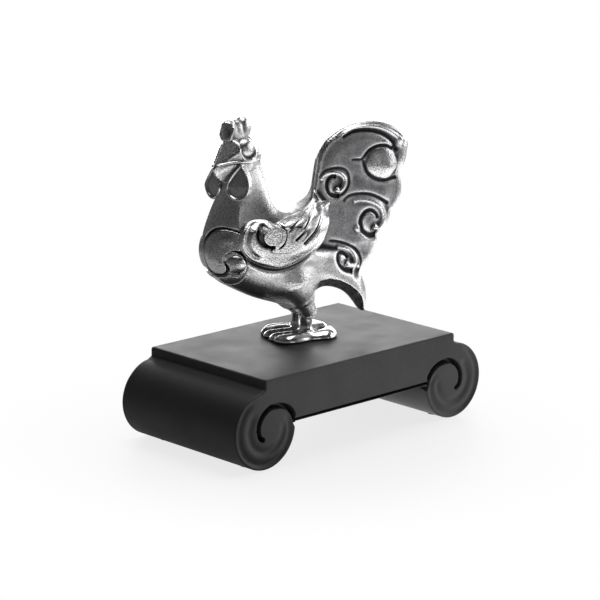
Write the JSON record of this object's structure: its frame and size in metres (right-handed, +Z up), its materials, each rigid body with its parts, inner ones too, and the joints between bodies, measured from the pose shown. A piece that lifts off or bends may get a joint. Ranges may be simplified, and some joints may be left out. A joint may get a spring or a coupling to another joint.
{
  "type": "rooster figurine",
  "caption": "Cast pewter rooster with scroll ornament on a black block base whose ends roll into scrolls; stands free on a shelf or desk.",
  "frame": {"origin": "middle of the base's outline, on the plane that the pads rest on", "axes": "+X along the long side of the base, towards the end that the tail points to; +Y along the base's short side, away from the rooster's left side; +Z up"},
  "size_m": [0.12, 0.0604, 0.1138],
  "materials": {
    "black_lacquer": "matt black lacquer with a very fine speckle",
    "pewter_satin": "satin cast pewter, dark in the grooves, rubbed bright on the ridges",
    "pewter_polished": "hand polished pewter",
    "felt": "black felt",
    "zinc_steel": "bright zinc plate"
  },
  "bodies": {
    "root": {"scroll_base": "black_lacquer", "pad_front_left": "felt", "pad_back_left": "felt", "pad_front_right": "felt", "pad_back_right": "felt", "left_fixing_screw": "zinc_steel", "right_fixing_screw": "zinc_steel", "left_washer": "zinc_steel", "right_washer": "zinc_steel", "left_body_shell": "pewter_satin", "right_body_shell": "pewter_satin", "left_wing": "pewter_satin", "right_wing": "pewter_satin", "left_breast_scroll": "pewter_satin", "right_breast_scroll": "pewter_satin", "head": "pewter_satin", "comb": "pewter_satin", "left_wattle": "pewter_satin", "right_wattle": "pewter_satin", "left_leg": "pewter_polished", "right_leg": "pewter_polished"}
  },
  "joints": []
}
